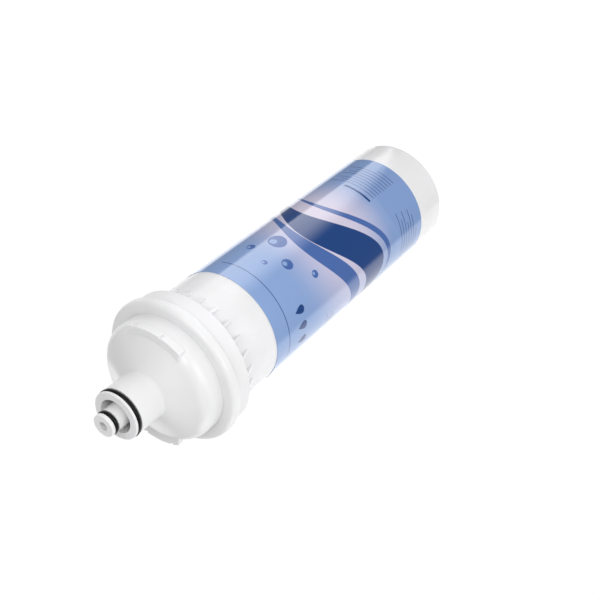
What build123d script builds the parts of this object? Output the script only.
from build123d import *
import os
from math import degrees, radians, sin, tan

# Quick-change water filter cartridge, standing on its closed end with the spigot upwards.
# Lengths are millimetres and angles degrees. Heights are measured up from the foot.

# Sump tube
TUBE_FOOT_RADIUS = 33.4
TUBE_DRAFT = 0.855
TUBE_LENGTH = 208.1
TUBE_WALL = 2.6
BASE_THICKNESS = 3.2
FOOT_EDGE_ROUND = 2.4
FOOT_RING_WIDTH = 6.0
FOOT_RECESS_DEPTH = 1.0
SEAT_RIB_COUNT = 6
SEAT_RIB_HEIGHT = 5.0
SEAT_RIB_THICKNESS = 2.0
SEAT_RIB_GUIDE = 6.0

# Collar that the head is welded on, with gussets below it
COLLAR_HEIGHT = 10.4
COLLAR_WIDTH = 5.0
COLLAR_DRAFT = 2.5
COLLAR_EDGE_ROUND = 0.8
GUSSET_COUNT = 24
GUSSET_THICKNESS = 1.7
GUSSET_LENGTH = 9.4
GUSSET_HEIGHT = 4.2
GUSSET_TOE = 0.5

# Head: skirt in the collar, rounded flange on it, then shoulder and cone
SKIRT_STEP = 0.7
SKIRT_WALL = 3.0
SKIRT_DEPTH = 8.0
FLANGE_WIDTH = 7.1
FLANGE_THICKNESS = 6.9
FLANGE_FRONT_ROUND = 2.8
FLANGE_BACK_ROUND = 1.8
SHOULDER_ROUND = 8.5
CONE_SLOPE = 23.8
CONE_WALL = 3.4
INNER_SHOULDER_ROUND = 5.0
HEAD_HEIGHT = 22.1
SPIGOT_FOOT_ROUND = 1.2

# Spigot and nose, each with a seal in a gland
SPIGOT_LENGTH = 21.9
SPIGOT_LIP = 1.4
NOSE_LENGTH = 9.6
NOSE_LIP = 2.1
LIP_ROUND = 0.6
GLAND_DEPTH = 2.3
GLAND_WIDTH = 3.2
SEAL_SECTION = 2.62
SPIGOT_SEAL_BORE = 25.07
NOSE_SEAL_BORE = 9.19
SEAL_CLEARANCE = 0.02
OUTLET_RADIUS = 2.8
OUTLET_LENGTH = 30.0
INNER_TUBE_LENGTH = 54.0

# Inlet recess between nose and spigot, with two kidney ports through its floor
PORT_WIDTH = 3.5
RECESS_DEPTH = 3.0
WEB_THICKNESS = 3.0
PORT_SPAN = 88.0
PORT_CENTRE = 61.0

# Bayonet lugs, one on each side
LUG_COUNT = 2
LUG_SPAN = 57.0
LUG_CENTRE = 2.5
LUG_PROUD = 0.8
LUG_THICKNESS = 4.6
LUG_RAMP = 2.6
LUG_DEPTH = 9.0
LUG_HEIGHT = 14.2
LUG_END_ROUND = 0.8
DETENT_RADIUS = 0.9
DETENT_LENGTH = 3.4
DETENT_ANGLES = (-5.0, 23.2)

# Label
LABEL_START = 23.8
LABEL_LENGTH = 152.4
LABEL_THICKNESS = 0.15
LABEL_CLEARANCE = 0.05
LABEL_OVERLAP = 6.0
LABEL_SEAM_ANGLE = 150.0

# Filter element
FLOW_GAP = 2.8
WRAP_THICKNESS = 1.0
CAP_WALL = 1.3
CAP_PLATE = 2.0
CAP_RIM = 7.0
FIT_CLEARANCE = 0.1
CORE_RADIUS = 6.3
CORE_WALL = 1.3
CORE_HOLE_RADIUS = 1.6
CORE_HOLE_ROWS = 8
CORE_HOLES_PER_ROW = 4
BOSS_HEIGHT = 4.0
NECK_HEIGHT = 15.0
NECK_LIP = 2.0
NECK_BORE = 2.8
NECK_SEAL_SECTION = 1.78
NECK_SEAL_BORE = 7.65
NECK_GLAND_DEPTH = 1.4
NECK_GLAND_WIDTH = 2.3
SOCKET_CLEARANCE = 0.04
NECK_SEAT_GAP = 0.2

DRAFT_RATE = tan(radians(TUBE_DRAFT))
CONE_RATE = tan(radians(CONE_SLOPE))


def tube_radius(height):
    """Outer radius of the drafted tube."""
    return TUBE_FOOT_RADIUS + height * DRAFT_RATE


# Heights worked out from the lengths above
collar_top = TUBE_LENGTH + COLLAR_HEIGHT
flange_top = collar_top + FLANGE_THICKNESS
skirt_bottom = collar_top - SKIRT_DEPTH
skirt_seat = skirt_bottom - FIT_CLEARANCE
cone_top = flange_top + HEAD_HEIGHT
spigot_top = cone_top + SPIGOT_LENGTH
nose_top = spigot_top + NOSE_LENGTH
recess_floor = spigot_top - RECESS_DEPTH
web_bottom = recess_floor - WEB_THICKNESS
socket_mouth = nose_top - INNER_TUBE_LENGTH
socket_top = nose_top - OUTLET_LENGTH
spigot_gland_top = spigot_top - SPIGOT_LIP
nose_gland_top = nose_top - NOSE_LIP
lug_front = flange_top + LUG_HEIGHT
element_bottom = BASE_THICKNESS + SEAT_RIB_HEIGHT
block_bottom = element_bottom + CAP_PLATE
cap_top = socket_mouth - NECK_SEAT_GAP
block_top = cap_top - CAP_PLATE
neck_top = cap_top + NECK_HEIGHT
neck_gland_top = neck_top - NECK_LIP

# Radii worked out from the sizes above
skirt_radius = tube_radius(TUBE_LENGTH) + SKIRT_STEP
skirt_bore = skirt_radius - SKIRT_WALL
weld_bore = skirt_radius + FIT_CLEARANCE
collar_radius = skirt_radius + COLLAR_WIDTH
collar_top_radius = collar_radius - COLLAR_HEIGHT * tan(radians(COLLAR_DRAFT))
flange_radius = skirt_radius + FLANGE_WIDTH
spigot_floor = SPIGOT_SEAL_BORE / 2 - SEAL_CLEARANCE
spigot_radius = spigot_floor + GLAND_DEPTH
nose_floor = NOSE_SEAL_BORE / 2 - SEAL_CLEARANCE
nose_radius = nose_floor + GLAND_DEPTH
recess_radius = nose_radius + PORT_WIDTH
lug_radius = skirt_radius + LUG_PROUD
neck_floor = NECK_SEAL_BORE / 2 - SEAL_CLEARANCE
neck_radius = neck_floor + NECK_GLAND_DEPTH
socket_radius = NECK_SEAL_BORE / 2 + NECK_SEAL_SECTION + SOCKET_CLEARANCE
cap_radius = TUBE_FOOT_RADIUS - TUBE_WALL - FLOW_GAP
cap_bore = cap_radius - CAP_WALL
wrap_radius = cap_bore - FIT_CLEARANCE
block_radius = wrap_radius - WRAP_THICKNESS
block_bore = CORE_RADIUS + FIT_CLEARANCE
boss_radius = CORE_RADIUS - CORE_WALL - FIT_CLEARANCE


def profile(points, rounds=()):
    """Section through (radius, height) points, with (point, radius) corner rounds."""
    section = Sketch() + make_face(Polyline(*points, close=True))
    for corner, radius in rounds:
        nearest = section.vertices().sort_by_distance((*corner, 0))[0]
        section = fillet(nearest, radius)
    return section


def turned(points, rounds=(), arc=360.0):
    """Solid turned about the vertical axis, starting at the X axis."""
    return revolve(Plane.XZ * profile(points, rounds), Axis.Z, arc)


def ring(inner, outer, bottom, top, arc=360.0):
    """Plain ring, or part of one when the arc is short."""
    return turned([(inner, bottom), (outer, bottom), (outer, top), (inner, top)], (), arc)


def sector(inner, outer, bottom, top, centre, span):
    """Part of a ring that spans an angle about a centre direction."""
    return Rot(0, 0, centre - span / 2) * ring(inner, outer, bottom, top, span)


def seal(bore, section, height):
    """Round seal lying in its gland at a height."""
    return Pos(0, 0, height) * Torus(bore / 2 + section / 2, section / 2)


def sump():
    """Closed tube with its collar, gussets and the ribs that the element sits on."""
    foot_inner = TUBE_FOOT_RADIUS - FOOT_EDGE_ROUND - FOOT_RING_WIDTH
    bore_top = tube_radius(skirt_seat) - TUBE_WALL
    bore_bottom = tube_radius(BASE_THICKNESS) - TUBE_WALL
    foot_edge = (TUBE_FOOT_RADIUS, 0)
    rear_edge = (collar_radius, TUBE_LENGTH)
    weld_edge = (collar_top_radius, collar_top)
    floor_edge = (bore_bottom, BASE_THICKNESS)
    outline = [
        (0, FOOT_RECESS_DEPTH),
        (foot_inner, FOOT_RECESS_DEPTH),
        (foot_inner, 0),
        foot_edge,
        (tube_radius(TUBE_LENGTH), TUBE_LENGTH),
        rear_edge,
        weld_edge,
        (weld_bore, collar_top),
        (weld_bore, skirt_seat),
        (bore_top, skirt_seat),
        floor_edge,
        (0, BASE_THICKNESS),
    ]
    rounds = [
        (foot_edge, FOOT_EDGE_ROUND),
        (rear_edge, COLLAR_EDGE_ROUND),
        (weld_edge, COLLAR_EDGE_ROUND),
    ]
    return turned(outline, rounds) + gussets() + seat_ribs()


def gussets():
    """Ring of triangular gussets in the corner below the collar."""
    toe_height = TUBE_LENGTH - GUSSET_LENGTH
    root = tube_radius(toe_height) - TUBE_WALL / 2
    crest = tube_radius(TUBE_LENGTH) + GUSSET_HEIGHT
    weld = (skirt_seat - TUBE_LENGTH) / 2
    side = [
        (root, toe_height),
        (tube_radius(toe_height) + GUSSET_TOE, toe_height),
        (crest, TUBE_LENGTH),
        (crest, TUBE_LENGTH + weld),
        (root, TUBE_LENGTH + weld),
    ]
    gusset = extrude(Plane.XZ * profile(side), GUSSET_THICKNESS / 2, both=True)
    return [Rot(0, 0, spin * 360.0 / GUSSET_COUNT) * gusset for spin in range(GUSSET_COUNT)]


def seat_ribs():
    """Ribs on the floor: their steps carry the filter element and their guides centre it."""
    wall = tube_radius(BASE_THICKNESS) - TUBE_WALL / 2
    guide = cap_radius + FIT_CLEARANCE
    hub = block_bore
    sunk = BASE_THICKNESS - FOOT_RECESS_DEPTH
    side = [
        (hub, sunk),
        (wall, sunk),
        (wall, element_bottom + SEAT_RIB_GUIDE),
        (guide, element_bottom + SEAT_RIB_GUIDE),
        (guide, element_bottom),
        (hub, element_bottom),
    ]
    rib = extrude(Plane.XZ * profile(side), SEAT_RIB_THICKNESS / 2, both=True)
    return [Rot(0, 0, spin * 360.0 / SEAT_RIB_COUNT) * rib for spin in range(SEAT_RIB_COUNT)]


def head_shell():
    """Skirt, flange, shoulder, cone and spigot, turned as one wall."""
    def cone(radius):
        return cone_top - (radius - spigot_radius) * CONE_RATE

    lip_edge = (spigot_radius, spigot_top)
    spigot_foot = (spigot_radius, cone_top)
    shoulder = (skirt_radius, cone(skirt_radius))
    inner_shoulder = (skirt_bore, cone(skirt_bore) - CONE_WALL)
    flange_front = (flange_radius, flange_top)
    flange_back = (flange_radius, collar_top)
    outline = [
        (recess_radius, spigot_top),
        lip_edge,
        (spigot_radius, spigot_gland_top),
        (spigot_floor, spigot_gland_top),
        (spigot_floor, spigot_gland_top - GLAND_WIDTH),
        (spigot_radius, spigot_gland_top - GLAND_WIDTH),
        spigot_foot,
        shoulder,
        (skirt_radius, flange_top),
        flange_front,
        flange_back,
        (skirt_radius, collar_top),
        (skirt_radius, skirt_bottom),
        (skirt_bore, skirt_bottom),
        inner_shoulder,
        (recess_radius, cone(recess_radius) - CONE_WALL),
    ]
    rounds = [
        (lip_edge, LIP_ROUND),
        (spigot_foot, SPIGOT_FOOT_ROUND),
        (shoulder, SHOULDER_ROUND),
        (inner_shoulder, INNER_SHOULDER_ROUND),
        (flange_front, FLANGE_FRONT_ROUND),
        (flange_back, FLANGE_BACK_ROUND),
    ]
    return turned(outline, rounds)


def head_tube():
    """Nose with its gland and outlet, carried down inside to a socket for the element's neck."""
    nose_edge = (nose_radius, nose_top)
    outline = [
        (OUTLET_RADIUS, nose_top),
        nose_edge,
        (nose_radius, nose_gland_top),
        (nose_floor, nose_gland_top),
        (nose_floor, nose_gland_top - GLAND_WIDTH),
        (nose_radius, nose_gland_top - GLAND_WIDTH),
        (nose_radius, socket_mouth),
        (socket_radius, socket_mouth),
        (socket_radius, socket_top),
        (OUTLET_RADIUS, socket_top),
    ]
    return turned(outline, [(nose_edge, LIP_ROUND)])


def lug():
    """Bayonet lug on the +X side: flat in front, ramped behind, its ends along X, with two notches."""
    lug_back = lug_front - LUG_THICKNESS
    first = lug_radius * sin(radians(LUG_CENTRE - LUG_SPAN / 2))
    last = lug_radius * sin(radians(LUG_CENTRE + LUG_SPAN / 2))
    reach = 2 * lug_radius
    body = ring(lug_radius - LUG_DEPTH, lug_radius, lug_back, lug_front)
    body &= Pos(lug_radius, (first + last) / 2, lug_front) * Box(reach, last - first, 3 * LUG_THICKNESS)
    ends = body.edges().filter_by(Axis.Z).sort_by_distance((0, 0, lug_front))[-2:]
    body = fillet(ends, LUG_END_ROUND)
    ramp = Pos(lug_radius, 0, lug_back) * Rot(LUG_RAMP, 0, 0) * Box(reach, reach, LUG_THICKNESS * 2)
    body -= Pos(0, 0, -LUG_THICKNESS) * ramp
    for angle in DETENT_ANGLES:
        notch = Pos(lug_radius, 0, lug_front - DETENT_LENGTH / 2) * Cylinder(DETENT_RADIUS, DETENT_LENGTH)
        body -= Rot(0, 0, angle) * notch
    return body


def head_cap():
    """Moulded head: shell and inner tube joined by the ported web, with the lugs outside."""
    body = head_shell() + head_tube()
    body += ring(nose_radius - PORT_WIDTH / 4, recess_radius + PORT_WIDTH / 4, web_bottom, recess_floor)
    for half in range(LUG_COUNT):
        turn = half * 360.0 / LUG_COUNT
        body -= sector(nose_radius, recess_radius, web_bottom, recess_floor, PORT_CENTRE + turn, PORT_SPAN)
        body += Rot(0, 0, turn) * lug()
    return body


def label():
    """Thin sleeve on the drafted tube, lapped over itself along one seam."""
    label_end = LABEL_START + LABEL_LENGTH

    def layer(inner, outer, arc):
        return turned([
            (tube_radius(LABEL_START) + inner, LABEL_START),
            (tube_radius(LABEL_START) + outer, LABEL_START),
            (tube_radius(label_end) + outer, label_end),
            (tube_radius(label_end) + inner, label_end),
        ], (), arc)

    face = LABEL_CLEARANCE + LABEL_THICKNESS
    lap_span = degrees(LABEL_OVERLAP / tube_radius(label_end))
    lap = layer(face - LABEL_THICKNESS / 2, face + LABEL_THICKNESS, lap_span)
    return layer(LABEL_CLEARANCE, face, 360.0) + Rot(0, 0, LABEL_SEAM_ANGLE) * lap


def core_tube():
    """Perforated tube that collects the filtered water, with holes staggered row by row."""
    body = ring(CORE_RADIUS - CORE_WALL, CORE_RADIUS, block_bottom, block_top)
    pitch = (block_top - block_bottom) / CORE_HOLE_ROWS
    step = 360.0 / CORE_HOLES_PER_ROW
    drills = []
    for row in range(CORE_HOLE_ROWS):
        height = block_bottom + (row + 0.5) * pitch
        for hole in range(CORE_HOLES_PER_ROW):
            turn = (hole + row % 2 / 2) * step
            drill = Pos(CORE_RADIUS, 0, height) * Rot(0, 90, 0) * Cylinder(CORE_HOLE_RADIUS, 3 * CORE_WALL)
            drills.append(Rot(0, 0, turn) * drill)
    return body - drills


def top_end_cap():
    """Cap with a rim round the felt, a boss in the core and the neck that seals in the head."""
    outline = [
        (NECK_BORE, block_top - BOSS_HEIGHT),
        (boss_radius, block_top - BOSS_HEIGHT),
        (boss_radius, block_top),
        (cap_bore, block_top),
        (cap_bore, block_top - CAP_RIM),
        (cap_radius, block_top - CAP_RIM),
        (cap_radius, cap_top),
        (neck_radius, cap_top),
        (neck_radius, neck_gland_top - NECK_GLAND_WIDTH),
        (neck_floor, neck_gland_top - NECK_GLAND_WIDTH),
        (neck_floor, neck_gland_top),
        (neck_radius, neck_gland_top),
        (neck_radius, neck_top),
        (NECK_BORE, neck_top),
    ]
    return turned(outline)


def bottom_end_cap():
    """Closed cap with a rim round the felt and a boss in the core."""
    outline = [
        (0, element_bottom),
        (cap_radius, element_bottom),
        (cap_radius, block_bottom + CAP_RIM),
        (cap_bore, block_bottom + CAP_RIM),
        (cap_bore, block_bottom),
        (boss_radius, block_bottom),
        (boss_radius, block_bottom + BOSS_HEIGHT),
        (0, block_bottom + BOSS_HEIGHT),
    ]
    return turned(outline)


pieces = {
    "sump": sump(),
    "head_cap": head_cap(),
    "label": label(),
    "spigot_o_ring": seal(SPIGOT_SEAL_BORE, SEAL_SECTION, spigot_gland_top - GLAND_WIDTH / 2),
    "nose_o_ring": seal(NOSE_SEAL_BORE, SEAL_SECTION, nose_gland_top - GLAND_WIDTH / 2),
    "carbon_block": ring(block_bore, block_radius, block_bottom, block_top),
    "prefilter_wrap": ring(block_radius, wrap_radius, block_bottom, block_top),
    "core_tube": core_tube(),
    "top_end_cap": top_end_cap(),
    "bottom_end_cap": bottom_end_cap(),
    "neck_o_ring": seal(NECK_SEAL_BORE, NECK_SEAL_SECTION, neck_gland_top - NECK_GLAND_WIDTH / 2),
}

os.makedirs("parts", exist_ok=True)
for name, shape in pieces.items():
    export_step(shape, f"parts/{name}.step")
    print(name, round(shape.volume / 1000, 2), "cm3")
